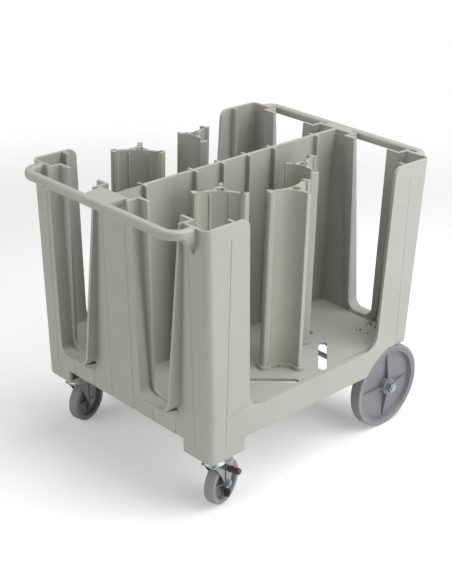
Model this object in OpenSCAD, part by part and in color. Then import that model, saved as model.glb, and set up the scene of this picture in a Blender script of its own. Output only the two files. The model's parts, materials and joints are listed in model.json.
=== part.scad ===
// Plate dispenser cart: a moulded body with tall end walls and a centre wall, sliding
// Y-shaped towers clamped in deck slots, two braked swivel casters and two big wheels.
// X runs from the handle end to the big wheels, Y across, Z up from the floor.

/* [Body] */
// Height of the posts, end walls and centre wall above the floor
body_h = 814; // [780:1:860]
// Distance between the outer faces of the end walls at the top
body_l = 824; // [800:1:880]
// Distance between the outer faces of the long sides
body_w = 672; // [660:1:720]
// Lean of the end walls, inwards towards the floor, in degrees
end_lean = 2.78; // [1.5:0.1:3.5]
// Radius of the upright corners
corner_r = 22; // [16:1:30]
// Thickness of the moulded walls
wall_t = 9; // [7:0.5:11]
// Height of the deck that the plates stand on
deck_z = 290; // [284:1:310]
// Thickness of the deck
deck_t = 9; // [7:0.5:12]
// Height of the lower edge of the skirt
skirt_z = 213; // [205:1:225]
// Depth of the ribs under the deck
rib_depth = 36; // [20:1:45]
// Thickness of the ribs under the deck
rib_t = 6; // [4:0.5:9]

/* [Long sides] */
// Width of the side opening between the posts at the top
side_top_w = 540; // [520:2:560]
// Width of the side opening at the deck
side_bottom_w = 494; // [480:2:510]
// Radius in the lower corners of the side opening
sill_r = 45; // [30:1:55]
// Radius on the free top corner of each post
post_r = 25; // [12:1:30]
// Distance from the middle of the body to the groove in each post
post_groove_x = 330; // [315:1:345]
// Distance from the middle of the body to the rib inside each post
post_rib_x = 314; // [300:1:330]
// Reach of the rib inside each post
post_rib_reach = 20; // [12:1:24]

/* [End windows] */
// Distance from the middle to the near edge of each window frame, at the top
frame_in_top = 63; // [58:1:70]
// The same, at the deck
frame_in_bottom = 110; // [102:1:114]
// Distance from the middle to the far edge of each window frame, at the top
frame_out_top = 254; // [246:1:262]
// The same, at the deck
frame_out_bottom = 219; // [214:1:226]
// Distance from the middle to the near edge of each flange inside the frame, at the top
flange_in_top = 97; // [90:1:104]
// The same, at the deck
flange_in_bottom = 118; // [117:1:122]
// Distance from the middle to the far edge of the opening between the flanges, at the top
flange_out_top = 215; // [208:1:222]
// The same, at the deck
flange_out_bottom = 205; // [198:1:206]
// Radius in the lower corners of the frame
frame_r = 32; // [20:1:34]
// Thickness of the frame's wall
frame_t = 8; // [6:0.5:10]
// How far the frame stands out past the top of the end wall
frame_proud = 8; // [4:0.5:12]
// Depth of the frame from its lip to the inner face of its flanges
frame_depth = 46; // [42:1:52]
// Thickness of the flanges
flange_t = 9; // [6:0.5:11]
// Height of the sloping underside of each frame
ledge_drop = 35; // [20:1:45]

/* [Bars] */
// Width of the bars seen from above
bar_w = 24; // [20:1:28]
// Depth of the bars
bar_h = 24; // [20:1:28]
// Rounding of the bars
bar_round = 8; // [4:0.5:9]
// Finger gap between the end wall and the handle bar
handle_gap = 45; // [38:1:60]
// Gap between the end wall and the rim bar at the wheel end
rim_gap = 18; // [14:1:24]
// Half of the length of each bar
bar_half = 302; // [296:1:306]
// Radius of the bend at each end of the handle bar
handle_bend = 40; // [32:1:46]
// Radius of the bend at each end of the rim bar
rim_bend = 24; // [18:1:27]
// Half of the width of the web between bar and wall
web_half = 54; // [44:1:60]
// Thickness of the web
web_t = 18; // [10:1:20]
// Depth of the pointed gusset under each bar end
gusset_h = 46; // [30:1:60]

/* [Centre wall] */
// Thickness of the centre wall
centre_t = 10; // [8:0.5:12]
// Reach of the cross ribs of the centre wall, from its face
cross_reach = 14; // [8:0.5:18]
// Thickness of the cross ribs
cross_t = 8; // [6:0.5:10]
// Distance from the middle of the body to the inner cross ribs
inner_cross_x = 48; // [36:1:60]
// Distance from the middle of the body to the outer cross ribs
outer_cross_x = 144; // [130:1:160]

/* [Deck slots] */
// Width of the slots in the deck
slot_w = 24; // [22:0.5:26]
// Place of the outer slots' inner ends, along the body
slot_in_x = 55; // [50:1:60]
// Distance from the long sides to the outer slots' inner ends
slot_in_side = 27; // [25:1:32]
// Place of the outer slots' outer ends, along the body
slot_out_x = 160; // [155:1:165]
// Distance from the long sides to the outer slots' outer ends
slot_out_side = 122; // [118:1:126]

/* [Towers] */
// Height of the top of the towers above the floor
tower_top = 794; // [760:1:806]
// Length of the two long wings of each tower
long_wing = 77; // [72:1:79]
// Length of the short wing
short_wing = 49; // [44:1:51]
// Angle between the short wing and each long wing
wing_angle = 112; // [106:1:118]
// Thickness of the wings
wing_t = 8; // [6:0.5:10]
// Width of the thick tip of each long wing
tip_w = 27; // [22:0.5:28]
// Length of that tip, along the wing
tip_l = 16.5; // [14:0.5:18]
// Radius of the hollows between the short wing and the long ones
hollow_r = 50; // [44:1:52]
// Radius of the hollow open face
open_r = 110; // [100:1:125]
// Distance from the bolt's middle to the open face
open_x = 14; // [14:0.25:16]
// Thickness of the foot flange
foot_t = 10; // [7:0.5:13]
// How far the foot flange stands out
foot_out = 7; // [4:0.5:8]
// Distance between the two upright beads on the open face
bead_gap = 50; // [44:1:56]
// Radius of those beads
bead_r = 3; // [2:0.25:4]

/* [Tower clamps] */
// Diameter of the tie bolt
tie_d = 10; // [8:1:11]
// Diameter of the recess for the bolt head in the top of the tower
recess_d = 22.5; // [21:0.5:23]
// Depth of that recess
recess_h = 24; // [14:1:40]
// Length of the clamp plate under the deck
clamp_l = 50; // [44:1:56]
// Width of the clamp plate
clamp_w = 36; // [34:1:44]
// Thickness of the clamp plate
clamp_t = 5; // [3:0.5:6]

/* [Big wheels] */
// Diameter of the big wheels
wheel_d = 254; // [240:1:258]
// Width of their tyres
wheel_w = 34; // [28:1:38]
// Distance from the end of the body, at its top, to their axle
axle_in = 65; // [62:1:72]
// Distance from the long sides to the outer faces of the tyres
wheel_side = 25; // [22:1:30]
// Thickness of the tyre
tyre_t = 11; // [9:0.5:16]
// Diameter of the axle
axle_d = 16; // [12:0.5:18]
// Radius of the wheel arch
arch_r = 156; // [150:1:160]

/* [Casters] */
// Diameter of the caster wheels
caster_d = 127; // [116:1:129]
// Width of the caster tyres
caster_w = 30; // [26:1:32]
// Thickness of the caster tyres
caster_tyre_t = 11.5; // [9:0.5:14]
// Height of a whole caster, from the floor to its plate's top
caster_h = 170; // [168:1:180]
// Distance from the end of the bosses, at their floor, to the swivel axes
caster_in = 62.5; // [61:0.5:64]
// Distance from the long sides to the swivel axes
caster_side = 51; // [50:1:52]
// Distance from the swivel axis to the caster axle
trail = 36.5; // [34:0.5:38]
// Turn of both casters from straight ahead, in degrees
caster_turn = 14; // [0:1:15]
// Length of the boss that carries each caster
boss_l = 123; // [119:1:130]
// Width of the boss
boss_w = 100; // [97:1:110]
// Rounding of the lower edges of the boss
boss_round = 8; // [4:1:10]
// Thickness of the floor of the boss
boss_floor = 10; // [8:0.5:12]

/* [Hidden] */

body_grey = [0.72, 0.72, 0.69];
zinc = [0.72, 0.74, 0.75];
steel = [0.55, 0.57, 0.58];
wheel_grey = [0.58, 0.58, 0.61];
tyre_grey = [0.47, 0.47, 0.49];
dark = [0.16, 0.14, 0.13];

$fn = 64;
over = 1;          // overrun of every cut
gap = 0.3;         // clearance between pieces that move past each other
run_gap = 0.05;    // radial clearance of a pin in its hole
head_gap = 1;      // radial clearance of a bolt head in its recess
bolt_gap = 0.25;   // radial clearance of a bolt in its hole

lean = tan(end_lean);
wheel_x = body_l/2 - axle_in;
wheel_track = body_w - 2*wheel_side;
slot_in_y = body_w/2 - slot_in_side;
slot_out_y = body_w/2 - slot_out_side;
handle_reach = body_l/2 + handle_gap + bar_w;
wheel_reach = wheel_x + wheel_d/2;
frame_shift = (handle_reach - wheel_reach)/2;
deck_under = deck_z - deck_t;
boss_z = caster_h;
arc_steps = 12;
round_steps = 4;
upstand = 5;           // of the flange above the floor of a window frame

// Sizes that the panels' grooves share
groove_w = 5;
groove_deep = 1.3;
groove_r = (groove_w*groove_w/4 + groove_deep*groove_deep)/(2*groove_deep);
groove_top = 76;       // below the top of the wall
post_groove_top = 38;
groove_foot = 8;       // above the lower edge
short_groove_h = 42;
short_groove_in = 12;   // past the foot of the window's inner side
short_groove_out = 11;  // short of the foot of its outer side
corner_groove_foot = 55;   // from the long side, at deck height
corner_groove_head = 61;   // from the long side, at the groove's top
bracket_back = 20;      // middle of an axle bracket's foot, from the axle

// Tower places, from the middle of the body, and the way that each short wing points
tower_diag_x = 153;
tower_diag_y = 111;
tower_front_side = 108;  // from the long side
tower_slot_back = 42;
tower_slot_on = 22;
outer_share = 0.467;
outer_run = [slot_out_x - slot_in_x, slot_out_y - slot_in_y];
outer_at = [slot_in_x, slot_in_y] + outer_share*outer_run;
tower_at = [[-outer_at.x, outer_at.y], [outer_at.x, outer_at.y],
    [-tower_diag_x, -tower_diag_y], [tower_diag_x, -tower_diag_y], [0, tower_front_side - body_w/2]];
tower_turn = [45, 135, 45, 135, -90];
slot_turn = [atan2(outer_run.y, -outer_run.x), atan2(outer_run.y, outer_run.x), 45, 135, 90];

spigot_h = deck_t - over;
head_h = 7;
nut_h = 8;
nut_flats_share = 1.7;
clamp_top = deck_under - gap;
tie_top = tower_top - recess_h;
thread_out = 4;

// Big wheel sizes
axle_z = wheel_d/2;
hub_r = 24;
hub_half = 21;
bush_t = 3;
dish_t = 8;
rim_in = 9;
rim_share = 0.92;
rib_rim_share = 0.75;
rib_hub_share = 0.86;
wheel_mid = wheel_track/2 - wheel_w/2;
washer_t = 3;
washer_r = 17;
axle_nut_h = 12;
axle_out = 3;
bracket_t = 6;
bracket_l = 76;
bracket_foot = 56;
bracket_boss_r = 24;
bracket_out = wheel_mid - hub_half - gap - washer_t;
bolt_d = 8;
bracket_bolt_in = 14;

// Caster sizes
plate_t = 5;
plate_l = 92;
plate_w = 76;
plate_bolt_in = 12;
race_r = 31;
race_h = 13;
crown_t = 5;
race_low_h = 9;
kingpin_d = 12;
leg_t = 3;
leg_gap = 2;
leg_front_r = 211;
leg_front_at = [-175, -12.5];   // from the swivel axis and the floor
leg_foot_r = 14.5;
leg_back = [65, 125];
leg_slot_w = 3;
leg_slot = [23.5, 72, 131];     // place, foot and top
leg_slot_hook = 25;
caster_axle_d = 10;
caster_hub_r = 15;
caster_rim = caster_d/2 - caster_tyre_t;
caster_axle_z = caster_d/2;
crown_z = boss_z - plate_t - race_h - gap - race_low_h - crown_t;
leg_in = caster_w/2 + leg_gap;
leg_out = leg_in + leg_t;
lever_t = 2.5;
lever_hub_r = 11;
pedal_r = 9.5;
pedal_waist = 7;
pedal_out = 35;
pedal_side_share = [0.5, 1];
pedal_at = [34, 110];   // from the swivel axis and the floor
shoe_at = [20, 45];
shoe_l = 14;
shoe_h = 20;
shoe_w = 12;

function end_x(z) = body_l/2 - (body_h - z)*lean;
function arc(c, r, a0, a1) =
    [for (i = [0:arc_steps]) c + r*[cos(a0 + (a1 - a0)*i/arc_steps), sin(a0 + (a1 - a0)*i/arc_steps)]];
function unit(v) = v/norm(v);
function turn_by(a, b) = let (d = b - a) d > 180 ? d - 360 : d < -180 ? d + 360 : d;
// Points of a fillet of radius r at corner b between a and c
function fillet(a, b, c, r) = r <= 0 ? [b] :
    let (u = unit(a - b), v = unit(c - b), half = acos(u*v)/2, m = b + unit(u + v)*r/sin(half),
        p = b + u*r/tan(half) - m, q = b + v*r/tan(half) - m,
        a0 = atan2(p.y, p.x), s = turn_by(a0, atan2(q.y, q.x)))
    arc(m, r, a0, a0 + s);
// Outline with every corner rounded by its own radius
function rounded(pts, rs) = let (n = len(pts))
    [for (i = [0:n - 1]) each fillet(pts[(i + n - 1) % n], pts[i], pts[(i + 1) % n], rs[i])];
function rounded_box(x, y, r) =
    rounded([[-x/2, -y/2], [x/2, -y/2], [x/2, y/2], [-x/2, y/2]], [r, r, r, r]);
// Value that runs straight from the deck to the top of the body
function along(bottom, top, z) = bottom + (top - bottom)*(z - deck_z)/(body_h - deck_z);

module placed() { translate([frame_shift, 0, 0]) children(); }
module both_sides() { for (m = [0, 1]) mirror([0, m, 0]) children(); }
// Extrudes an outline in Y and Z along X
module along_x(x0, x1) { translate([x0, 0, 0]) rotate([90, 0, 90]) linear_extrude(x1 - x0) children(); }
// Extrudes an outline in X and Z along Y
module along_y(y0, y1) { translate([0, y1, 0]) rotate([90, 0, 0]) linear_extrude(y1 - y0) children(); }

// Ring of points of the body's outline at height z, set in from the outer face
function form_ring(inset, z) = let (r = corner_r - inset, x = end_x(z) - corner_r, y = body_w/2 - corner_r)
    [for (p = concat(arc([x, y], r, 0, 90), arc([-x, y], r, 90, 180),
        arc([-x, -y], r, 180, 270), arc([x, -y], r, 270, 360))) [p.x, p.y, z]];
// The body's leaning form through levels, each an inset from the outer face and a height
module body_stack(levels) {
    rings = [for (l = levels) form_ring(l[0], l[1])];
    n = len(rings[0]);
    top = len(rings) - 1;
    polyhedron(points = [for (r = rings) each r],
        faces = concat([[for (i = [0:n - 1]) i]], [[for (i = [n - 1:-1:0]) top*n + i]],
            [for (j = [0:top - 1], i = [0:n - 1])
                [j*n + i, (j + 1)*n + i, (j + 1)*n + (i + 1) % n, j*n + (i + 1) % n]]), convexity = 4);
}
module body_form(inset, z0, z1) { body_stack([[inset, z0], [inset, z1]]); }

// Outline of a window at the end, in Y and Z, lifted off the deck and grown outwards by grow
module window_outline(grow, lift, in_bottom, in_top, out_bottom, out_top, top) {
    polygon(rounded([
        [along(in_bottom, in_top, top) - grow, top],
        [in_bottom - grow, deck_z + lift - grow],
        [out_bottom + grow, deck_z + lift - grow],
        [along(out_bottom, out_top, top) + grow, top]],
        [0, frame_r + grow, frame_r + grow, 0]));
}
module frame_outline(grow, top) {
    window_outline(grow, 0, frame_in_bottom, frame_in_top, frame_out_bottom, frame_out_top, top);
}
module flange_outline(top) {
    window_outline(0, frame_t/2 + upstand, flange_in_bottom, flange_in_top,
        flange_out_bottom, flange_out_top, top);
}

lip_x = body_l/2 + frame_proud;
flange_x = lip_x - frame_depth;

// One window frame: the lip and side walls, and the flanges at its inner end
module window_frame() {
    intersection() {
        union() {
            along_x(flange_x, lip_x) difference() {
                frame_outline(frame_t/2, body_h);
                frame_outline(-frame_t/2, body_h + over);
            }
            along_x(flange_x, flange_x + flange_t) difference() {
                frame_outline(0, body_h);
                flange_outline(body_h + over);
            }
        }
        translate([0, 0, deck_z]) cube([body_l, body_w, body_h]);
    }
}

// Opening in a long side, in X and Z
module side_outline() {
    x0 = side_bottom_w/2;
    x1 = side_top_w/2;
    far = x1 + 2*post_r;
    polygon(rounded([[-far, body_h + over], [-far, body_h], [-x1, body_h], [-x0, deck_z],
        [x0, deck_z], [x1, body_h], [far, body_h], [far, body_h + over]],
        [0, 0, post_r, sill_r, sill_r, post_r, 0, 0]));
}

// Upright groove in a leaning end panel, from y0 at its foot to y1 at its top
module groove_bar(y0, y1, z0, z1) {
    a = [end_x(z0), y0, z0];
    b = [end_x(z1), y1, z1];
    d = b - a;
    translate(a) rotate([0, acos(d.z/norm(d)), atan2(d.y, d.x)])
        translate([groove_r - groove_deep, 0, 0]) cylinder(r = groove_r, h = norm(d), $fn = 24);
}

module bar_profile() { polygon(rounded_box(bar_w, bar_h, bar_round)); }

// Bar that stands off an end wall and bends back to it at both ends
module end_bar(stand, bend) {
    x = body_l/2 + stand + bar_w/2;
    z = body_h - bar_h/2;
    y = bar_half - bar_w/2 - bend;
    root = end_x(body_h - bar_h) - wall_t/2;
    translate([x, y, z]) rotate([90, 0, 0]) linear_extrude(2*y) bar_profile();
    both_sides() {
        translate([x - bend, y, z]) rotate_extrude(angle = 90) translate([bend, 0]) bar_profile();
        translate([root, y + bend, z]) rotate([90, 0, 90]) linear_extrude(x - bend - root) bar_profile();
    }
}

// Pointed gusset under the end of a bar
module bar_gusset(stand) {
    y = bar_half - bar_w/2;
    z = body_h - bar_h + bar_round/2;
    root = end_x(z) - wall_t/2;
    tip_z = body_h - bar_h - gusset_h;
    hull() {
        translate([root, y - bar_w/2, z]) cube([wall_t/2 + stand*0.8, bar_w, bar_round/4]);
        translate([end_x(tip_z) - wall_t/2, y - bar_round/4, tip_z])
            cube([wall_t/2, bar_round/2, bar_round/4]);
    }
}

module bar_web(stand) {
    x = body_l/2 + stand + bar_w/2;
    narrow_share = 0.76;
    translate([0, 0, body_h - web_t]) linear_extrude(web_t) polygon([
        [body_l/2 - wall_t, -web_half], [x, -web_half*narrow_share],
        [x, web_half*narrow_share], [body_l/2 - wall_t, web_half]]);
}

// End wall with its two corner posts, as seen at the wheel end
module end_wall(stand, bend) {
    difference() {
        union() {
            difference() {
                intersection() {
                    difference() {
                        body_form(0, deck_z, body_h);
                        body_form(wall_t, deck_z - over, body_h + over);
                    }
                    translate([side_bottom_w/2 - sill_r, -body_w/2 - over, deck_z - over])
                        cube([body_l, body_w + 2*over, body_h]);
                }
                both_sides() along_x(flange_x - over, lip_x + over) frame_outline(0, body_h + over);
            }
            both_sides() {
                window_frame();
                translate([post_rib_x - cross_t/2, body_w/2 - wall_t - post_rib_reach, deck_z])
                    cube([cross_t, post_rib_reach + wall_t/2, body_h - deck_z]);
            }
            end_bar(stand, bend);
            bar_web(stand);
            both_sides() bar_gusset(stand);
        }
        along_y(-body_w, body_w) side_outline();
        both_sides() {
            translate([post_groove_x, body_w/2 + groove_r - groove_deep, deck_z - over])
                cylinder(r = groove_r, h = body_h - deck_z - post_groove_top + over, $fn = 24);
            groove_bar(panel_groove[0], panel_groove[1], deck_z - over, body_h - groove_top);
            groove_bar(corner_groove[0], corner_groove[1], deck_z - over, body_h - groove_top);
        }
    }
}
// Places of the long grooves at deck height and at their tops
panel_groove = [frame_in_bottom*0.4, frame_in_top*0.7];
corner_groove = [body_w/2 - corner_groove_foot, body_w/2 - corner_groove_head];

module handle_end_wall() { color(body_grey) placed() mirror([1, 0, 0]) end_wall(handle_gap, handle_bend); }
module wheel_end_wall() { color(body_grey) placed() end_wall(rim_gap, rim_bend); }

// Centre wall that parts the two rows of plates, with its cross ribs
module centre_wall() {
    cross_at = [inner_cross_x, outer_cross_x, post_rib_x];
    x = end_x(deck_z) - wall_t;
    xt = end_x(body_h) - wall_t;
    color(body_grey) placed() {
        along_y(-centre_t/2, centre_t/2)
            polygon([[-x, deck_z], [x, deck_z], [xt, body_h], [-xt, body_h]]);
        for (a = cross_at, s = [-1, 1])
            translate([s*a - cross_t/2, -centre_t/2 - cross_reach, deck_z])
                cube([cross_t, centre_t + 2*cross_reach, body_h - deck_z]);
    }
}

// Slot through the deck between two points
module deck_slot(a, b) {
    d = b - a;
    turn = atan2(d.y, d.x);
    translate([0, 0, deck_under - over]) linear_extrude(deck_t + 2*over)
        polygon(concat(arc(a, slot_w/2, turn + 90, turn + 270), arc(b, slot_w/2, turn - 90, turn + 90)));
}
function dir(a) = [cos(a), sin(a)];

boss_inner = end_x(skirt_z) - boss_l;
boss_side = body_w/2 - boss_w;

// Corner bosses' space, on both sides of the handle end
module boss_space(z0, z1) {
    both_sides() translate([-body_l, boss_side, z0]) cube([body_l - boss_inner, body_w, z1 - z0]);
}

// Sloping ledge below a window, out to the lip, with the frame's round corners
module ledge() {
    hull() {
        intersection() {
            along_x(lip_x - frame_t, lip_x) frame_outline(frame_t/2, deck_z + frame_r);
            translate([0, 0, deck_z - frame_t/2]) cube([body_l, body_w, frame_t/2]);
        }
        intersection() {
            translate([0, 0, frame_t/2 - ledge_drop])
                along_x(flange_x, flange_x + frame_t/2) frame_outline(frame_t/2, deck_z + frame_r);
            translate([0, 0, deck_z - ledge_drop]) cube([body_l, body_w, ledge_drop]);
        }
    }
}
module four_ledges() { for (m = [0, 1]) mirror([m, 0, 0]) both_sides() ledge(); }
// Everything between two heights
module level(z0, z1) { translate([-body_l, -body_w, z0]) cube([2*body_l, 2*body_w, z1 - z0]); }
module arches() {
    cheek_y = wheel_mid - wheel_w/2 - cheek_gap;
    both_sides() intersection() {
        union() {
            translate([wheel_x, cheek_y, axle_z]) rotate([-90, 0, 0]) cylinder(r = arch_r, h = body_w);
            translate([wheel_x, cheek_y, 0]) cube([body_l, body_w, body_h]);
        }
        cube([body_l, body_w, deck_under - rib_t]);
    }
}
cheek_gap = 15;
rib_x = 236;

// Deck with the upper parts of the window ledges, and the ribs below it
module body_base() {
    color(body_grey) placed() difference() {
        union() {
            body_form(0, deck_under, deck_z);
            intersection() {
                union() {
                    for (s = [-1, 1]) translate([s*rib_x - rib_t/2, -body_w/2, deck_under - rib_depth])
                        cube([rib_t, body_w, rib_depth + over]);
                    translate([-body_l/2, -rib_t/2, deck_under - rib_depth])
                        cube([body_l, rib_t, rib_depth + over]);
                }
                body_form(wall_t, deck_under - rib_depth - over, deck_under + over);
            }
            intersection() {
                four_ledges();
                level(deck_under, deck_z);
            }
        }
        arches();
        // Slots of the towers, and the two free slots
        for (m = [0, 1], s = [-1, 1]) mirror([0, m, 0])
            deck_slot([s*slot_in_x, slot_in_y], [s*slot_out_x, slot_out_y]);
        for (i = [2:4]) deck_slot(tower_at[i] - tower_slot_back*dir(slot_turn[i]),
            tower_at[i] + tower_slot_on*dir(slot_turn[i]));
        both_sides() bracket_hole_places() translate([0, 0, deck_under - over])
            cylinder(d = bolt_d + 2*bolt_gap, h = deck_t + 2*over);
        skirt_grooves();
    }
}

// Grooves that run down over the deck's edge and the skirt
module skirt_grooves() {
    for (m = [0, 1]) mirror([m, 0, 0]) both_sides() {
        groove_bar(panel_groove[0]*1.04, panel_groove[0], skirt_z + groove_foot, deck_z + over);
        for (y = [frame_in_bottom + short_groove_in, frame_out_bottom - short_groove_out])
            groove_bar(y, y, skirt_z - over, skirt_z + short_groove_h);
    }
}

// Skirt under the deck's edge, between the corner bosses and the wheel arches
module skirt() {
    color(body_grey) placed() difference() {
        union() {
            difference() {
                body_form(0, skirt_z, deck_under);
                body_form(wall_t, skirt_z - over, deck_under + over);
            }
            difference() {
                intersection() {
                    four_ledges();
                    level(skirt_z, deck_under);
                }
                body_form(wall_t, skirt_z - over, deck_under + over);
            }
        }
        boss_space(skirt_z - over, deck_z);
        arches();
        skirt_grooves();
    }
}

// Hollow boss over each caster, open towards the middle
module caster_boss(side) {
    color(body_grey) placed() mirror([0, side, 0]) difference() {
        intersection() {
            body_stack(concat([for (i = [0:round_steps]) let (a = 90*i/round_steps)
                [boss_round*(1 - sin(a)), boss_z + boss_round*(1 - cos(a))]], [[0, deck_under]]));
            along_y(boss_side, body_w) polygon(rounded([[-body_l, boss_z - gap], [-boss_inner, boss_z - gap],
                [-boss_inner, deck_z], [-body_l, deck_z]], [0, boss_round, 0, 0]));
        }
        translate([-end_x(boss_z) + wall_t, boss_side - over, boss_z + boss_floor])
            cube([end_x(boss_z) - boss_inner - 2*wall_t, boss_w - wall_t + over, deck_under - boss_z]);
        caster_hole_places() translate([0, 0, boss_z - over])
            cylinder(d = bolt_d + 2*bolt_gap, h = boss_floor + 2*over);
    }
}
module caster_boss_left() { caster_boss(0); }
module caster_boss_right() { caster_boss(1); }
swivel_x = end_x(boss_z) - caster_in;
swivel_y = body_w/2 - caster_side;

module caster_hole_places() {
    for (x = [-1, 1], y = [-1, 1])
        translate([-swivel_x + x*(plate_l/2 - plate_bolt_in), swivel_y + y*(plate_w/2 - plate_bolt_in), 0])
            children();
}
bracket_x = wheel_x - bracket_back;
module bracket_hole_places() {
    for (x = [-1, 1], y = [-1, 1])
        translate([bracket_x + x*(bracket_l/2 - bracket_bolt_in),
            bracket_out - bracket_t - bracket_foot/2 + y*(bracket_foot/2 - bracket_bolt_in), 0]) children();
}

// Outline of a tower from above, short wing along X, grown by g: the six corners of a wing's
// tip, from its right side to its left, with their radii
function tip_points(a, reach, wide, long, t, g) = let (u = dir(a), v = dir(a + 90), s = reach - long - g,
    h = wide/2 + g, k = t/2 + g, e = reach + g)
    [s*u - k*v, s*u - h*v, e*u - h*v, e*u + h*v, s*u + h*v, s*u + k*v];
function tip_radii(r, step, g) = let (rc = max(min(tip_fillet, step/3) - g, 0), ri = min(r + g, step*0.8 - rc))
    [rc, ri, r + g, r + g, ri, rc];
// End of the open face's arc against a long wing's tip
function open_end(g) = let (u = dir(wing_angle), v = dir(wing_angle + 90),
    w = (long_wing - tip_l - g)*u + [open_x + open_r, 0], q = w*v)
    w + (-q - sqrt(q*q - w*w + (open_r - g)*(open_r - g)))*v;
function tower_points(g) = let (
    a = tip_points(wing_angle, long_wing, tip_w, tip_l, wing_t, g),
    b = tip_points(-wing_angle, long_wing, tip_w, tip_l, wing_t, g),
    ra = tip_radii(tip_round, (tip_w - wing_t)/2, g),
    e = open_end(g),
    f = atan2(e.y, e.x),
    face = [for (i = [0:open_steps]) [-open_x - open_r, 0] + (open_r - g)*dir(f - 2*f*i/open_steps)],
    k = [((wing_t/2 + g) - (short_t/2 + g)*sin(wing_angle - 90))/cos(wing_angle - 90), short_t/2 + g])
    rounded(
        concat(tip_points(0, short_wing, short_tip_w, short_tip_l, short_t, g), [k],
            [for (i = [0:4]) a[i]], face, [for (i = [1:5]) b[i]], [[k.x, -k.y]]),
        concat(tip_radii(short_tip_w/4, (short_tip_w - short_t)/2, g), [hollow_r - g], [for (i = [0:4]) ra[i]],
            [for (i = face) 0], [for (i = [1:5]) ra[i]], [hollow_r - g]));
tower_foot_z = deck_z + gap;

// Y-shaped tower with its foot flange, slot spigot and bolt bore
module tower(i) {
    at = tower_at[i];
    color(body_grey) placed() translate([at.x, at.y, 0]) rotate(tower_turn[i]) difference() {
        union() {
            translate([0, 0, tower_foot_z]) linear_extrude(tower_top - tower_foot_z)
                polygon(tower_points(0));
            translate([0, 0, tower_foot_z]) linear_extrude(foot_t) polygon(tower_points(foot_out));
            translate([0, 0, tower_foot_z - spigot_h])
                cylinder(r = slot_w/2 - 2*gap, h = spigot_h + foot_t);
            for (s = [-1, 1]) translate([bead_x, s*bead_gap/2, tower_foot_z]) {
                cylinder(r = bead_r, h = bead_top - tower_foot_z);
                translate([0, 0, bead_top - tower_foot_z]) cylinder(r1 = bead_r, r2 = bead_r/3, h = bead_r);
            }
        }
        translate([0, 0, tower_foot_z - spigot_h - over]) cylinder(d = tie_d + 2*bolt_gap, h = tower_top);
        translate([0, 0, tie_top]) cylinder(d = recess_d, h = recess_h + over);
    }
}
bead_x = sqrt(open_r*open_r - bead_gap*bead_gap/4) - open_x - open_r;
bead_below = 7;
bead_top = tower_top - bead_r - bead_below;
open_steps = 24;
short_t = 10;
short_tip_w = 14;
short_tip_l = 5;
tip_fillet = 3;
tip_round = 6;

module tower_1() { tower(0); }
module tower_2() { tower(1); }
module tower_3() { tower(2); }
module tower_4() { tower(3); }
module tower_5() { tower(4); }

// Hexagon head or nut on the Z axis
module hexagon(d, h) { cylinder(d = d*nut_flats_share/cos(30), h = h, $fn = 6); }

// Tie bolt that holds a tower to its clamp plate
module tie_bolt(i) {
    low = clamp_top - clamp_t - nut_h - thread_out;
    color(zinc) placed() translate([tower_at[i].x, tower_at[i].y, 0]) {
        translate([0, 0, low]) cylinder(d = tie_d, h = tie_top - low);
        translate([0, 0, tie_top]) difference() {
            cylinder(d = recess_d - 2*head_gap, h = head_h);
            translate([0, 0, head_h/2]) cylinder(d = tie_d*0.8, h = head_h, $fn = 6);
        }
    }
}
module tie_bolt_1() { tie_bolt(0); }
module tie_bolt_2() { tie_bolt(1); }
module tie_bolt_3() { tie_bolt(2); }
module tie_bolt_4() { tie_bolt(3); }
module tie_bolt_5() { tie_bolt(4); }

// Clamp plate under the deck
module clamp_plate(i) {
    color(zinc) placed() translate([tower_at[i].x, tower_at[i].y, clamp_top - clamp_t]) rotate(slot_turn[i])
        difference() {
            linear_extrude(clamp_t) polygon(rounded_box(clamp_l, clamp_w, clamp_t));
            translate([0, 0, -over]) cylinder(d = tie_d + 2*bolt_gap, h = clamp_t + 2*over);
        }
}
module clamp_plate_1() { clamp_plate(0); }
module clamp_plate_2() { clamp_plate(1); }
module clamp_plate_3() { clamp_plate(2); }
module clamp_plate_4() { clamp_plate(3); }
module clamp_plate_5() { clamp_plate(4); }

// Nut on the end of a tie bolt
module clamp_nut(i) {
    color(zinc) placed() translate([tower_at[i].x, tower_at[i].y, clamp_top - clamp_t - nut_h])
        difference() {
            hexagon(tie_d, nut_h);
            translate([0, 0, -over]) cylinder(d = tie_d, h = nut_h + 2*over);
        }
}
module clamp_nut_1() { clamp_nut(0); }
module clamp_nut_2() { clamp_nut(1); }
module clamp_nut_3() { clamp_nut(2); }
module clamp_nut_4() { clamp_nut(3); }
module clamp_nut_5() { clamp_nut(4); }

// Puts a piece on one big wheel's axle: Z of the piece runs outwards along Y
module at_wheel(side) {
    placed() mirror([0, side, 0]) translate([wheel_x, 0, axle_z]) rotate([-90, 0, 0]) children();
}
wheel_end = wheel_mid + hub_half;
axle_half = wheel_end + gap + washer_t + axle_nut_h + axle_out;

module axle() {
    color(zinc) placed() translate([wheel_x, -axle_half, axle_z]) rotate([-90, 0, 0])
        cylinder(d = axle_d, h = 2*axle_half);
}

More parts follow.
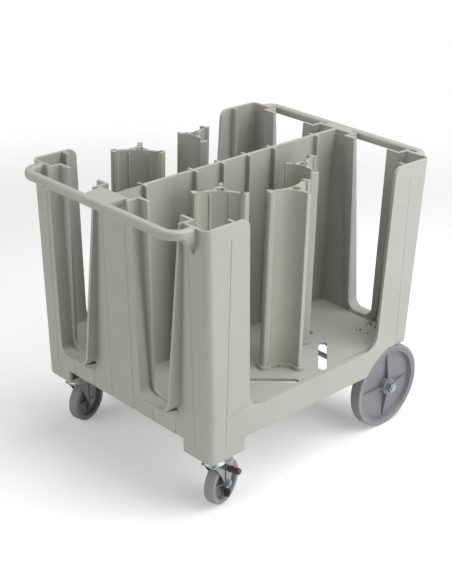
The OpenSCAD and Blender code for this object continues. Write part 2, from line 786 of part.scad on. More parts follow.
// Steel bracket: foot plate under the deck, cheek down to the axle, two stiffening flanges
module axle_bracket(side) {
    top = deck_under;
    x0 = bracket_x - bracket_l/2 - wheel_x;
    x1 = bracket_x + bracket_l/2 - wheel_x;
    color(zinc) placed() mirror([0, side, 0]) difference() {
        translate([wheel_x, 0, 0]) union() {
            along_y(bracket_out - bracket_t, bracket_out) difference() {
                polygon(rounded([[x0, top], [-bracket_boss_r, axle_z + bracket_boss_r],
                    [-bracket_boss_r, axle_z - bracket_boss_r], [bracket_boss_r, axle_z - bracket_boss_r],
                    [bracket_boss_r, axle_z + bracket_boss_r], [x1, top]],
                    [0, bracket_boss_r, bracket_boss_r - over, bracket_boss_r - over, bracket_boss_r, 0]));
            }
            translate([x0, bracket_out - bracket_t - bracket_foot, top - bracket_t])
                cube([x1 - x0, bracket_foot + bracket_t/2, bracket_t]);
            for (x = [x0, x1 - bracket_t]) translate([x + bracket_t, 0, 0]) rotate([90, 0, -90])
                linear_extrude(bracket_t) polygon([[-bracket_out + bracket_t/2, top - bracket_t/2],
                    [-bracket_out + bracket_t/2, top - bracket_foot],
                    [-bracket_out + bracket_t + over, top - bracket_foot],
                    [-bracket_out + bracket_t + bracket_foot/4, top - bracket_t/2]]);
        }
        translate([wheel_x, 0, axle_z]) rotate([-90, 0, 0]) cylinder(d = axle_d + 2*bolt_gap, h = body_w);
        bracket_hole_places() translate([0, 0, top - bracket_t - over])
            cylinder(d = bolt_d + 2*bolt_gap, h = bracket_t + 2*over);
    }
}
module axle_bracket_left() { axle_bracket(0); }
module axle_bracket_right() { axle_bracket(1); }

// Round-headed bolt pointing down from z_head, with its nut under z_nut
module plate_bolt(z_head, z_nut) {
    translate([0, 0, z_head]) cylinder(d1 = bolt_d*2.2, d2 = bolt_d*1.6, h = bolt_d*0.4);
    translate([0, 0, z_nut - bolt_d]) cylinder(d = bolt_d, h = z_head - z_nut + bolt_d);
    translate([0, 0, z_nut - bolt_d*0.8]) hexagon(bolt_d, bolt_d*0.8);
}
module bracket_bolts() {
    color(zinc) placed() both_sides() bracket_hole_places() plate_bolt(deck_z, deck_under - bracket_t);
}
// Caster bolts: heads inside the boss, nuts under the caster's plate
module caster_bolts() {
    color(zinc) placed() both_sides() caster_hole_places()
        plate_bolt(boss_z + boss_floor, boss_z - plate_t);
}

// Wheel core by its radii: hub, dish, rim and four tapered ribs on each face
module wheel_body(bore_r, hub, hub_w, rim_r, out_r, half, dish) {
    difference() {
        union() {
            rotate_extrude($fn = 96) polygon([[bore_r, -hub_w], [hub, -hub_w], [hub + dish/4, -dish/2],
                [rim_r - dish/2, -dish/2], [rim_r, -half], [out_r, -half], [out_r, half], [rim_r, half],
                [rim_r - dish/2, dish/2], [hub + dish/4, dish/2], [hub, hub_w], [bore_r, hub_w]]);
            for (a = [0:90:270], m = [0, 1]) rotate(a) mirror([0, 0, m])
                translate([0, dish/4, 0]) rotate([90, 0, 0]) linear_extrude(dish/2) polygon([
                    [hub - over, 0], [rim_r, 0], [rim_r - dish/2, dish*rib_rim_share],
                    [hub - over, hub_w*rib_hub_share]]);
        }
        translate([0, 0, -hub_w - over]) cylinder(r = bore_r, h = 2*hub_w + 2*over);
    }
}
wheel_rim_r = wheel_d/2 - tyre_t;
module wheel_core(side) {
    color(wheel_grey) at_wheel(side) translate([0, 0, wheel_mid])
        wheel_body(axle_d/2 + run_gap + bush_t, hub_r, hub_half, wheel_rim_r*rim_share, wheel_rim_r,
            wheel_w/2 - over, dish_t);
}
module wheel_core_left() { wheel_core(0); }
module wheel_core_right() { wheel_core(1); }

// Tyre by its radii, with rounded shoulders
module tyre_ring(r_in, r_out, half, shoulder) {
    rotate_extrude($fn = 96) polygon(rounded([[r_in, -half], [r_out, -half], [r_out, half], [r_in, half]],
        [0, shoulder, shoulder, 0]));
}
module wheel_tyre(side) {
    color(tyre_grey) at_wheel(side) translate([0, 0, wheel_mid])
        tyre_ring(wheel_rim_r, wheel_d/2, wheel_w/2, tyre_t/4);
}
module wheel_tyre_left() { wheel_tyre(0); }
module wheel_tyre_right() { wheel_tyre(1); }

module wheel_bush(side) {
    r = axle_d/2 + run_gap;
    color(steel) at_wheel(side) translate([0, 0, wheel_mid - hub_half]) difference() {
        cylinder(r = r + bush_t, h = 2*hub_half);
        translate([0, 0, -over]) cylinder(r = r, h = 2*hub_half + 2*over);
    }
}
module wheel_bush_left() { wheel_bush(0); }
module wheel_bush_right() { wheel_bush(1); }

// Washers on both sides of each wheel
module axle_washers() {
    color(zinc) for (side = [0, 1]) at_wheel(side) for (z = [bracket_out, wheel_end + gap])
        translate([0, 0, z]) difference() {
            cylinder(r = washer_r, h = washer_t);
            translate([0, 0, -over]) cylinder(d = axle_d, h = washer_t + 2*over);
        }
}
module axle_nuts() {
    color(zinc) for (side = [0, 1]) at_wheel(side) translate([0, 0, wheel_end + gap + washer_t])
        difference() {
            hexagon(axle_d, axle_nut_h);
            translate([0, 0, -over]) cylinder(d = axle_d, h = axle_nut_h + 2*over);
        }
}

// Puts a piece at a caster's swivel axis
module at_swivel(side) { placed() mirror([0, side, 0]) translate([-swivel_x, swivel_y, 0]) children(); }
// The same for a piece that swivels: both casters are turned the same way
module at_caster(side) { at_swivel(side) rotate((1 - 2*side)*caster_turn) children(); }

// Mounting plate with the upper ball race under it
module caster_plate(side) {
    color(zinc) at_swivel(side) difference() {
        union() {
            translate([0, 0, boss_z - plate_t]) linear_extrude(plate_t)
                polygon(rounded_box(plate_l, plate_w, plate_t*2));
            translate([0, 0, boss_z - plate_t - race_h])
                cylinder(r1 = race_r - race_h/3, r2 = race_r, h = race_h);
        }
        for (x = [-1, 1], y = [-1, 1])
            translate([x*(plate_l/2 - plate_bolt_in), y*(plate_w/2 - plate_bolt_in), boss_z - plate_t - over])
                cylinder(d = bolt_d + 2*bolt_gap, h = plate_t + 2*over);
        translate([0, 0, boss_z - plate_t - race_h - over]) cylinder(d = kingpin_d, h = plate_t + race_h + 2*over);
    }
}
module caster_plate_left() { caster_plate(0); }
module caster_plate_right() { caster_plate(1); }

// Kingpin held in the plate, with its head under the fork's crown
module kingpin(side) {
    head = crown_t;
    color(zinc) at_swivel(side) {
        translate([0, 0, crown_z]) cylinder(d = kingpin_d, h = boss_z - crown_z);
        translate([0, 0, crown_z - gap - head]) cylinder(d = kingpin_d*1.7, h = head);
        translate([0, 0, crown_z - gap]) cylinder(d = kingpin_d, h = gap);
    }
}
module kingpin_left() { kingpin(0); }
module kingpin_right() { kingpin(1); }

// Outline of a fork leg in X and Z, from the swivel axis: the front edge is a hollow arc
module leg_outline() {
    top = crown_z + crown_t;
    a0 = asin((top - leg_front_at.y)/leg_front_r);
    a1 = asin((caster_axle_z - leg_front_at.y)/leg_front_r);
    polygon(concat(arc(leg_front_at, leg_front_r, a0, a1),
        arc([trail, caster_axle_z], leg_foot_r, 180 + 360/arc_steps/2, 360),
        fillet([trail + leg_foot_r, caster_axle_z], leg_back, [crown_back, top], crown_t*2),
        [[crown_back, top]]));
}
crown_back = race_r + leg_foot_r*0.6;
// Upright slot of a leg with its hook at the top
module leg_slot_outline() {
    translate([leg_slot[0], leg_slot[1]]) square([leg_slot_w, leg_slot[2] - leg_slot[1]]);
    translate([leg_slot[0], leg_slot[2] - leg_slot_w]) square([leg_slot_hook, leg_slot_w]);
}
module caster_fork(side) {
    color(zinc) at_caster(side) difference() {
        union() {
            both_sides() along_y(leg_in, leg_out) leg_outline();
            translate([-race_r, -leg_out, crown_z]) cube([race_r + crown_back, 2*leg_out, crown_t]);
            translate([0, 0, crown_z + crown_t]) cylinder(r1 = race_r, r2 = race_r - race_h/3, h = race_low_h);
        }
        translate([0, 0, crown_z - over])
            cylinder(r = kingpin_d/2 + run_gap, h = crown_t + race_low_h + 2*over);
        translate([trail, -body_w/2, caster_axle_z]) rotate([-90, 0, 0]) cylinder(d = caster_axle_d, h = body_w);
        along_y(-leg_out - over, leg_out + over) leg_slot_outline();
    }
}
module caster_fork_left() { caster_fork(0); }
module caster_fork_right() { caster_fork(1); }

// Axle bolt of a caster with its head and nut outside the legs
module caster_axle(side) {
    color(zinc) at_caster(side) translate([trail, 0, caster_axle_z]) rotate([-90, 0, 0]) {
        nut = caster_axle_d*0.5;
        end = leg_out + lever_t + 2*gap + nut + leg_t/2;
        translate([0, 0, -leg_out - leg_t/2]) cylinder(d = caster_axle_d, h = leg_out + leg_t/2 + end);
        translate([0, 0, -leg_out - nut]) hexagon(caster_axle_d, nut);
        translate([0, 0, end - leg_t/2 - nut]) hexagon(caster_axle_d, nut);
    }
}
module caster_axle_left() { caster_axle(0); }
module caster_axle_right() { caster_axle(1); }

module caster_core(side) {
    color(wheel_grey) at_caster(side) translate([trail, 0, caster_axle_z]) rotate([-90, 0, 0])
        wheel_body(caster_axle_d/2 + run_gap, caster_hub_r, leg_in - gap, caster_rim*rim_share, caster_rim,
            caster_w/2 - over, dish_t*0.8);
}
module caster_core_left() { caster_core(0); }
module caster_core_right() { caster_core(1); }

module caster_tyre(side) {
    color(tyre_grey) at_caster(side) translate([trail, 0, caster_axle_z]) rotate([-90, 0, 0])
        tyre_ring(caster_rim, caster_d/2, caster_w/2, caster_w/6);
}
module caster_tyre_left() { caster_tyre(0); }
module caster_tyre_right() { caster_tyre(1); }

// Brake lever that turns on the caster axle, outside the outer leg
lever_y = leg_out + gap;
module brake_lever(side) {
    hub = [trail, caster_axle_z];
    w = lever_hub_r;
    color(zinc) at_caster(side) difference() {
        along_y(lever_y, lever_y + lever_t) polygon(rounded([
            [hub.x - w, hub.y - w/2], [hub.x - w, hub.y + w/2], [pedal_at.x - pedal_r, pedal_at.y - pedal_r],
            [pedal_at.x - pedal_r, pedal_at.y + pedal_r], [pedal_at.x + pedal_r, pedal_at.y + pedal_r],
            [pedal_at.x + pedal_r, pedal_at.y - pedal_r], [hub.x + w, hub.y + w/2], [hub.x + w, hub.y - w],
            [shoe_at.x + shoe_l/2, shoe_at.y - shoe_h/2], [shoe_at.x - shoe_l/2, shoe_at.y - shoe_h/2],
            [shoe_at.x - shoe_l/2, shoe_at.y]],
            [0, w/3, w/3, w/2, w/2, w/3, w/3, w/2, w/4, w/4, w/3]));
        translate([hub.x, 0, hub.y]) rotate([-90, 0, 0])
            cylinder(r = caster_axle_d/2 + run_gap, h = body_w);
    }
}
module brake_lever_left() { brake_lever(0); }
module brake_lever_right() { brake_lever(1); }

// Moulded pedal knob on the upper end of the lever: two lobes with a waist between
module brake_pedal(side) {
    out = pedal_out*pedal_side_share[side];
    lobe = out/7;
    color(dark) at_caster(side) translate([pedal_at.x, lever_y + lever_t, pedal_at.y]) rotate([-90, 0, 0])
        rotate_extrude($fn = 48) polygon(concat([[0, 0]], [for (i = [0:2*arc_steps]) let (z = out*i/2/arc_steps,
            d = min(z, out - z), swell = (pedal_r - pedal_waist)*(0.5 + 0.5*cos(360*(z - lobe)/(out - 2*lobe))))
            [(pedal_waist + swell)*(0.8 + 0.2*min(1, d/lobe)), z]], [[0, out]]));
}
module brake_pedal_left() { brake_pedal(0); }
module brake_pedal_right() { brake_pedal(1); }

// Rubber shoe on the lower end of the lever, its outer face hollowed on both sides of a bar
module brake_shoe(side) {
    color(dark) at_caster(side) difference() {
        along_y(lever_y + lever_t, lever_y + lever_t + shoe_w) translate(shoe_at)
            polygon(rounded_box(shoe_l, shoe_h, shoe_l/5));
        along_y(lever_y + lever_t + shoe_w/2, lever_y + lever_t + shoe_w + over) translate(shoe_at)
            for (s = [-1, 1]) translate([0, s*shoe_h*0.22])
                polygon(rounded_box(shoe_l*0.6, shoe_h*0.3, shoe_l/12));
    }
}
module brake_shoe_left() { brake_shoe(0); }
module brake_shoe_right() { brake_shoe(1); }

body_base();
skirt();
caster_boss_left();
caster_boss_right();
handle_end_wall();
wheel_end_wall();
centre_wall();
tower_1();
tower_2();
tower_3();
tower_4();
tower_5();
tie_bolt_1();
tie_bolt_2();
tie_bolt_3();
tie_bolt_4();
tie_bolt_5();
clamp_plate_1();
clamp_plate_2();
clamp_plate_3();
clamp_plate_4();
clamp_plate_5();
clamp_nut_1();
clamp_nut_2();
clamp_nut_3();
clamp_nut_4();
clamp_nut_5();
axle();
axle_bracket_left();
axle_bracket_right();
bracket_bolts();
wheel_core_left();
wheel_core_right();
wheel_tyre_left();
wheel_tyre_right();
wheel_bush_left();
wheel_bush_right();
axle_washers();
axle_nuts();
caster_plate_left();
caster_plate_right();
caster_bolts();
kingpin_left();
kingpin_right();
caster_fork_left();
caster_fork_right();
caster_axle_left();
caster_axle_right();
caster_core_left();
caster_core_right();
caster_tyre_left();
caster_tyre_right();
brake_lever_left();
brake_lever_right();
brake_pedal_left();
brake_pedal_right();
brake_shoe_left();
brake_shoe_right();
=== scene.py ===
import json
import math
import bmesh
import bpy
import numpy as np
from mathutils import Matrix, Vector
from mathutils.bvhtree import BVHTree


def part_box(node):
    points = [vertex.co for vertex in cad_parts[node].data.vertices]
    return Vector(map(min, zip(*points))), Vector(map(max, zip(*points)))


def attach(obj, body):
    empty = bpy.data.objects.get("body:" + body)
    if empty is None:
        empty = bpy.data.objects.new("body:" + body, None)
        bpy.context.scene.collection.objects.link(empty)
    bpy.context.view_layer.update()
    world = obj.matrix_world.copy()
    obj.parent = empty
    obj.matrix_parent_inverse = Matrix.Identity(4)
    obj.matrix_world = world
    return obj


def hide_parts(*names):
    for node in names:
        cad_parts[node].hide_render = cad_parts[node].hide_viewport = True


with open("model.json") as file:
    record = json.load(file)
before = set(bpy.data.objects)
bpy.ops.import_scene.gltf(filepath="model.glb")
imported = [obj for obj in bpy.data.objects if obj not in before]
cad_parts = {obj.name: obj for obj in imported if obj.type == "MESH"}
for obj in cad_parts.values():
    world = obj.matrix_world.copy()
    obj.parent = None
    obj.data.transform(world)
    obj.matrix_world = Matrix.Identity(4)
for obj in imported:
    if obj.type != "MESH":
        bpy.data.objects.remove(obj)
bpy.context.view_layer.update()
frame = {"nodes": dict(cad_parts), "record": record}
nodes = frame["nodes"]
mm = 0.001


# View of the photograph: where the camera stands, how it is turned, and its lens
photoView = {
    "place": (-2223.4, -2260.1, 1902.4),   # mm
    "azimuth": -44.40,                      # degrees, 0 looks along +Y
    "elevation": 25.02,
    "roll": 1.556,
    "lens": 77.68,                          # mm
    "sensor": 36,                           # mm, its height
    "clip": (0.05, 60),                     # m
}


def makeCamera(v):
    a, e, t = (math.radians(v[k]) for k in ("azimuth", "elevation", "roll"))
    back = Vector((math.sin(a) * math.cos(e), -math.cos(a) * math.cos(e), math.sin(e)))
    right = Vector((math.cos(a), math.sin(a), 0))
    up = back.cross(right)
    right, up = right * math.cos(t) + up * math.sin(t), up * math.cos(t) - right * math.sin(t)
    cam = bpy.data.cameras.new("photoCamera")
    cam.sensor_fit = "VERTICAL"
    cam.sensor_height = v["sensor"]
    cam.lens = v["lens"]
    cam.clip_start, cam.clip_end = v["clip"]
    obj = bpy.data.objects.new("photoCamera", cam)
    bpy.context.scene.collection.objects.link(obj)
    turn = Matrix((right, up, back)).transposed().to_4x4()
    obj.matrix_world = Matrix.Translation(Vector(v["place"]) * mm) @ turn
    bpy.context.scene.camera = obj


makeCamera(photoView)
print("camera set")


# One shader socket, with the arithmetic of values written as Python
class Wire:
    def __init__(self, tree, socket):
        self.tree, self.socket = tree, socket

    def math(self, operation, other):
        n = self.tree.nodes.new("ShaderNodeMath")
        n.operation = operation
        for i, v in enumerate((self, other)):
            if isinstance(v, Wire):
                self.tree.links.new(v.socket, n.inputs[i])
            else:
                n.inputs[i].default_value = v
        return Wire(self.tree, n.outputs[0])

    def __add__(self, o): return self.math("ADD", o)
    def __radd__(self, o): return self.math("ADD", o)
    def __sub__(self, o): return self.math("SUBTRACT", o)
    def __mul__(self, o): return self.math("MULTIPLY", o)
    def __truediv__(self, o): return self.math("DIVIDE", o)

    def clamped(self):
        n = self.tree.nodes.new("ShaderNodeClamp")
        self.tree.links.new(self.socket, n.inputs[0])
        return Wire(self.tree, n.outputs[0])


# A material's node tree, with one method for every other node
class Finish:
    def __init__(self, name):
        self.material = bpy.data.materials.new(name)
        self.material.use_nodes = True
        self.tree = self.material.node_tree
        self.tree.nodes.clear()
        out = self.tree.nodes.new("ShaderNodeOutputMaterial")
        self.shader = self.tree.nodes.new("ShaderNodeBsdfPrincipled")
        self.tree.links.new(self.shader.outputs[0], out.inputs["Surface"])
        self.where = self.node("ShaderNodeTexCoord", out="Object")

    def node(self, kind, out=0, **values):
        n = self.tree.nodes.new(kind)
        for k, v in values.items():
            self.put(n.inputs[k.replace("_", " ")], v)
        return Wire(self.tree, n.outputs[out])

    def put(self, socket, value):
        if isinstance(value, Wire):
            self.tree.links.new(value.socket, socket)
        else:
            socket.default_value = value

    def set(self, **values):
        for k, v in values.items():
            self.put(self.shader.inputs[k.replace("_", " ")], v)

    def noise(self, scale, detail=2.0, rough=0.5):
        return self.node("ShaderNodeTexNoise", Vector=self.where, Scale=scale, Detail=detail,
                         Roughness=rough)

    # Goes from the first level to the second between two values
    def ramp(self, value, start, end, levels=(0, 1), smooth="LINEAR"):
        wire = self.node("ShaderNodeValToRGB", Fac=value)
        ramp = wire.socket.node.color_ramp
        ramp.interpolation = smooth
        for e, at, level in zip(ramp.elements, (start, end), levels):
            e.position, e.color = at, (level, level, level, 1)
        return wire

    def mix(self, a, b, factor):
        n = self.tree.nodes.new("ShaderNodeMix")
        n.data_type = "RGBA"
        for i, v in ((0, factor), (6, a), (7, b)):
            self.put(n.inputs[i], v)
        return Wire(self.tree, n.outputs[2])

    def bump(self, height, distance, strength):
        return self.node("ShaderNodeBump", Height=height, Distance=distance, Strength=strength)


# Screen values 0 to 255 as linear light
def grey(r, g, b):
    c = np.array([r, g, b]) / 255
    return (*np.where(c <= 0.04045, c / 12.92, ((c + 0.055) / 1.055) ** 2.4).tolist(), 1)


# Moulded polyethylene: warm grey with fine dark and light speckle, a satin grain and faint clouds
mouldedLook = {
    "colours": {
        "body": {"base": (168, 167, 162), "dark": (150, 149, 141), "light": (186, 185, 180)},
        "tower": {"base": (166, 165, 158), "dark": (146, 145, 137), "light": (182, 181, 175)},
    },
    "speckle": (420, 2.0, 0.6),             # scale, detail and roughness of the noise
    "speckleDark": (0.36, 0.46),
    "speckleLight": (0.56, 0.66),
    "speckleShare": 0.55,
    "cloud": (5, 3.0),
    "cloudShare": 0.5,
    "grain": (900, 2.0),
    "peel": (160, 1.0),
    "peelShare": 0.7,
    "bump": (0.00012, 0.35),                # m, strength
    "roughness": 0.5,
    "cloudRoughness": 0.16,
}


def mouldedFinish(name, colours, look):
    f = Finish(name)
    base, darker, lighter = (grey(*colours[k]) for k in ("base", "dark", "light"))
    speckle = f.noise(*look["speckle"])
    dark = f.ramp(speckle, *look["speckleDark"], levels=(1, 0))
    light = f.ramp(speckle, *look["speckleLight"])
    cloud = f.noise(*look["cloud"])
    colour = f.mix(base, darker, dark * look["speckleShare"])
    colour = f.mix(colour, lighter, light * look["speckleShare"])
    colour = f.mix(colour, darker, (cloud - 0.5).clamped() * look["cloudShare"])
    grain = f.noise(*look["grain"])
    peel = f.noise(*look["peel"])
    f.set(Base_Color=colour, Roughness=look["roughness"] + (cloud - 0.5) * look["cloudRoughness"],
          Normal=f.bump(grain + peel * look["peelShare"], *look["bump"]))
    return f.material


finishes = {
    "body": mouldedFinish("mouldedBody", mouldedLook["colours"]["body"], mouldedLook),
    "tower": mouldedFinish("mouldedTower", mouldedLook["colours"]["tower"], mouldedLook),
}


# Hard moulded plastic of wheels, bushes and pedals: faint flow marks, fine grain and small scuffs
plasticColours = {
    "wheel": {"base": (127, 126, 132), "flow": (116, 115, 121), "scuff": (150, 150, 154),
              "roughness": 0.42},
    "bush": {"base": (82, 82, 84), "flow": (74, 74, 76), "scuff": (100, 100, 102),
             "roughness": 0.5},
    "dark": {"base": (66, 52, 44), "flow": (56, 44, 37), "scuff": (92, 78, 68),
             "roughness": 0.36},
}
plasticLook = {
    "flow": (18, 3.0, 0.6),
    "fine": (700, 2.0),
    "scuff": (55, 4.0, 0.7),
    "scuffFrom": (0.62, 0.74),
    "scuffShare": 0.3,
    "scuffRoughness": 0.18,
    "flowRoughness": 0.1,
    "bump": (0.00005, 0.3),
}


def plasticFinish(name, colours, look):
    f = Finish(name)
    flow = f.noise(*look["flow"])
    fine = f.noise(*look["fine"])
    scuff = f.ramp(f.noise(*look["scuff"]), *look["scuffFrom"])
    colour = f.mix(grey(*colours["base"]), grey(*colours["flow"]), flow)
    colour = f.mix(colour, grey(*colours["scuff"]), scuff * look["scuffShare"])
    worn = colours["roughness"] + scuff * look["scuffRoughness"]
    f.set(Base_Color=colour, Roughness=worn + (flow - 0.5) * look["flowRoughness"],
          Normal=f.bump(fine, *look["bump"]))
    return f.material


# Tread and shoe rubber: matt, with dust in a fine grain
rubberColours = {
    "tyre": {"base": (136, 136, 137), "dust": (156, 155, 152), "roughness": 0.74},
    "rubber": {"base": (36, 36, 36), "dust": (66, 64, 60), "roughness": 0.8},
}
rubberLook = {
    "dust": (38, 5.0, 0.65),
    "dustFrom": (0.42, 0.7),
    "dustShare": 0.45,
    "dustRoughness": 0.12,
    "grain": (1100, 2.0),
    "grainShare": 0.2,
    "bump": (0.00008, 0.4),
}


def rubberFinish(name, colours, look):
    f = Finish(name)
    dust = f.ramp(f.noise(*look["dust"]), *look["dustFrom"])
    grain = f.noise(*look["grain"])
    share = dust * look["dustShare"] + (grain - 0.5) * look["grainShare"]
    f.set(Base_Color=f.mix(grey(*colours["base"]), grey(*colours["dust"]), share),
          Roughness=colours["roughness"] + dust * look["dustRoughness"],
          Normal=f.bump(grain, *look["bump"]))
    return f.material


# Zinc plating: bluish bright steel with a faint spangle, duller in patches
zincColours = {
    "plate": {"base": (176, 179, 182), "dull": (140, 143, 146), "spangle": 260, "roughness": 0.3},
    "bright": {"base": (190, 193, 196), "dull": (158, 161, 164), "spangle": 180, "roughness": 0.24},
}
zincLook = {
    "patch": (32, 3.0, 0.6),
    "patchFrom": 0.3,
    "patchShare": 0.7,
    "patchDullFrom": 0.4,
    "patchRoughness": 0.4,
    "spangleShare": 0.25,
    "spangleRoughness": 0.05,
    "fine": (900, 1.0),
    "bump": (0.00003, 0.3),
}


def zincFinish(name, colours, look):
    f = Finish(name)
    patch = f.noise(*look["patch"])
    spangle = f.node("ShaderNodeTexVoronoi", Vector=f.where, Scale=colours["spangle"])
    fine = f.noise(*look["fine"])
    dull = (patch - look["patchFrom"]).clamped() * look["patchShare"] + spangle * look["spangleShare"]
    rough = colours["roughness"] + (patch - look["patchDullFrom"]).clamped() * look["patchRoughness"]
    f.set(Base_Color=f.mix(grey(*colours["base"]), grey(*colours["dull"]), dull), Metallic=1.0,
          Roughness=rough + spangle * look["spangleRoughness"], Normal=f.bump(fine, *look["bump"]))
    return f.material


for key, colours in plasticColours.items():
    finishes[key] = plasticFinish(key + "Plastic", colours, plasticLook)
for key, colours in rubberColours.items():
    finishes[key] = rubberFinish(key + "Rubber", colours, rubberLook)
for key, colours in zincColours.items():
    finishes[key] = zincFinish(key + "Zinc", colours, zincLook)

slotFinish = {
    "body_grey": "body", "tower_grey": "tower", "wheel_grey": "wheel", "tyre_grey": "tyre",
    "zinc_plate": "plate", "zinc_bright": "bright", "bushing": "bush", "pedal_dark": "dark",
    "shoe_rubber": "rubber",
}
slotOf = {s["node"]: s["material_slot"] for s in frame["record"]["subparts"]}
bodyOf = {n: b for b, ns in frame["record"]["behaviour"]["bodies"].items() for n in ns}
for name, obj in nodes.items():
    obj.data.materials.clear()
    obj.data.materials.append(finishes[slotFinish[slotOf[name]]])
print("finishes given")


def newObject(name, mesh):
    obj = bpy.data.objects.new(name, mesh)
    bpy.context.scene.collection.objects.link(obj)
    return obj


# What the work on meshes takes as one point, as flat, as a turn or as turned inside out
meshLook = {
    "weld": 1e-6,                           # m
    "rodSides": 24,
    "samePoint": 2e-5,                      # m
    "tinyEdge": 1e-5,                       # m
    "flat": 0.5,                            # degrees
    "farRadius": 1.0,                       # m, of an edge that turns nowhere
    "turn": (0.02, 0.7),                    # radians: less is straight on, more is a corner
    "roomAt": (0.2, 0.5, 0.8),              # shares of an edge's length where room is measured
    "touch": 1e-6,                          # m, or a share of an edge
    "tiny": 1e-9,                           # m, least length that is divided by
    "parallel": 1e-12,                      # stands for nothing in a division
    "turnedOver": -0.3,                     # cosine between a rounded face and the face under it
    "turnedArea": 3e-7,                     # m2
    "mendReach": 1.2,                       # times the rounding's width
}


# Copy of one CAD piece with its doubled points welded
def weldedCopy(node, name):
    mesh = nodes[node].data.copy()
    bm = bmesh.new()
    bm.from_mesh(mesh)
    bm.transform(nodes[node].matrix_world)
    bmesh.ops.remove_doubles(bm, verts=bm.verts, dist=meshLook["weld"])
    bm.to_mesh(mesh)
    bm.free()
    mesh.materials.clear()
    return newObject(name, mesh)


def evaluatedMesh(obj):
    return bpy.data.meshes.new_from_object(obj.evaluated_get(bpy.context.evaluated_depsgraph_get()))


# Round rod between two points, a cutter for a groove
def rodObject(start, end, radius):
    start, end = Vector(start), Vector(end)
    mesh = bpy.data.meshes.new("rod")
    bm = bmesh.new()
    bmesh.ops.create_cone(bm, cap_ends=True, segments=meshLook["rodSides"], radius1=radius,
                          radius2=radius, depth=(end - start).length)
    turn = (end - start).to_track_quat("Z", "Y").to_matrix().to_4x4()
    bm.transform(Matrix.Translation((start + end) / 2) @ turn)
    bm.to_mesh(mesh)
    bm.free()
    return newObject("rod", mesh)


# Several CAD pieces made one solid, so that no seam shows where they meet, with grooves cut in it
def unitedMesh(names, rods=()):
    copies = [weldedCopy(n, "part") for n in names]
    cutters = [rodObject(*r) for r in rods]
    for other in copies[1:] + cutters:
        m = copies[0].modifiers.new("unite", "BOOLEAN")
        m.operation = "DIFFERENCE" if other in cutters else "UNION"
        m.solver, m.object = "MANIFOLD", other
    mesh = evaluatedMesh(copies[0])
    for c in copies + cutters:
        bpy.data.objects.remove(c)
    return mesh


# Radius that each sharp edge turns with, from its length and the turn to the next sharp edge
def turnRadii(bm, sharp):
    least, most = meshLook["turn"]
    radius = np.full(len(bm.edges), meshLook["farRadius"])
    for v in bm.verts:
        ends = [e for e in v.link_edges if sharp[e.index]]
        for e in ends:
            for o in ends:
                if o is e:
                    continue
                u = (e.other_vert(v).co - v.co).normalized()
                w = (v.co - o.other_vert(v).co).normalized()
                turn = math.pi - u.angle(-w, 0.0)
                turn = math.pi - turn if turn > math.pi / 2 else turn
                if least < turn < most:
                    length = 0.5 * (e.calc_length() + o.calc_length())
                    radius[e.index] = min(radius[e.index], length / turn)
    return radius


# Narrowest way across its two faces from each sharp edge, so that no rounding passes the far side
def roomBeside(bm, sharp):
    touch, parallel = meshLook["touch"], meshLook["parallel"]
    room = np.full(len(bm.edges), meshLook["farRadius"])
    for f in bm.faces:
        if not any(sharp[e.index] for e in f.edges):
            continue
        points = np.array([l.vert.co for l in f.loops])
        n = np.array(f.normal)
        u = np.cross(n, (1, 0, 0) if abs(n[0]) < 0.9 else (0, 1, 0))
        u = u / np.linalg.norm(u)
        flat = points @ np.stack((u, np.cross(n, u)), 1)
        step = np.roll(flat, -1, 0) - flat
        for i, l in enumerate(f.loops):
            if not sharp[l.edge.index]:
                continue
            inward = np.array((-step[i, 1], step[i, 0])) / max(np.linalg.norm(step[i]), meshLook["tiny"])
            cross = inward[0] * step[:, 1] - inward[1] * step[:, 0]
            cross[np.abs(cross) < parallel] = parallel
            for at in meshLook["roomAt"]:
                gap = flat - (flat[i] + at * step[i])
                reach = (gap[:, 0] * step[:, 1] - gap[:, 1] * step[:, 0]) / cross
                along = (gap[:, 0] * inward[1] - gap[:, 1] * inward[0]) / cross
                hits = reach[(along > -touch) & (along < 1 + touch) & (reach > touch)]
                if len(hits):
                    room[l.edge.index] = min(room[l.edge.index], hits.min())
    return room


# Mesh with its edges rounded by their own weights
def bevelled(mesh, weight, look):
    mesh.attributes["bevel_weight_edge"].data.foreach_set("value", weight.astype(np.float32))
    obj = newObject("rounding", mesh)
    m = obj.modifiers.new("round", "BEVEL")
    m.limit_method, m.offset_type, m.miter_outer = "WEIGHT", "OFFSET", "MITER_SHARP"
    m.width, m.segments, m.use_clamp_overlap = look["width"], look["segments"], look["clamp"]
    out = evaluatedMesh(obj)
    bpy.data.objects.remove(obj)
    return out


# Corners of the faces that the rounding turned inside out
def turnedCorners(out, tree):
    corners = []
    for f in out.polygons:
        if f.area < meshLook["turnedArea"]:
            continue
        near = tree.find_nearest(f.center)
        if near[1].dot(f.normal) < meshLook["turnedOver"]:
            corners += [out.vertices[i].co[:] for i in f.vertices]
    return np.array(corners).reshape(-1, 3)


# Whether each edge of a mesh passes within a distance of any of some points
def edgesNear(mesh, points, distance):
    co = np.empty(len(mesh.vertices) * 3)
    mesh.vertices.foreach_get("co", co)
    ends = np.empty(len(mesh.edges) * 2, int)
    mesh.edges.foreach_get("vertices", ends)
    start, end = co.reshape(-1, 3)[ends.reshape(-1, 2)].transpose(1, 0, 2)
    run = end - start
    long = np.maximum((run * run).sum(1), meshLook["parallel"])
    near = np.zeros(len(ends) // 2, bool)
    for p in points:
        at = np.clip(((p - start) * run).sum(1) / long, 0, 1)
        near |= np.linalg.norm(start + at[:, None] * run - p, axis=1) < distance
    return near


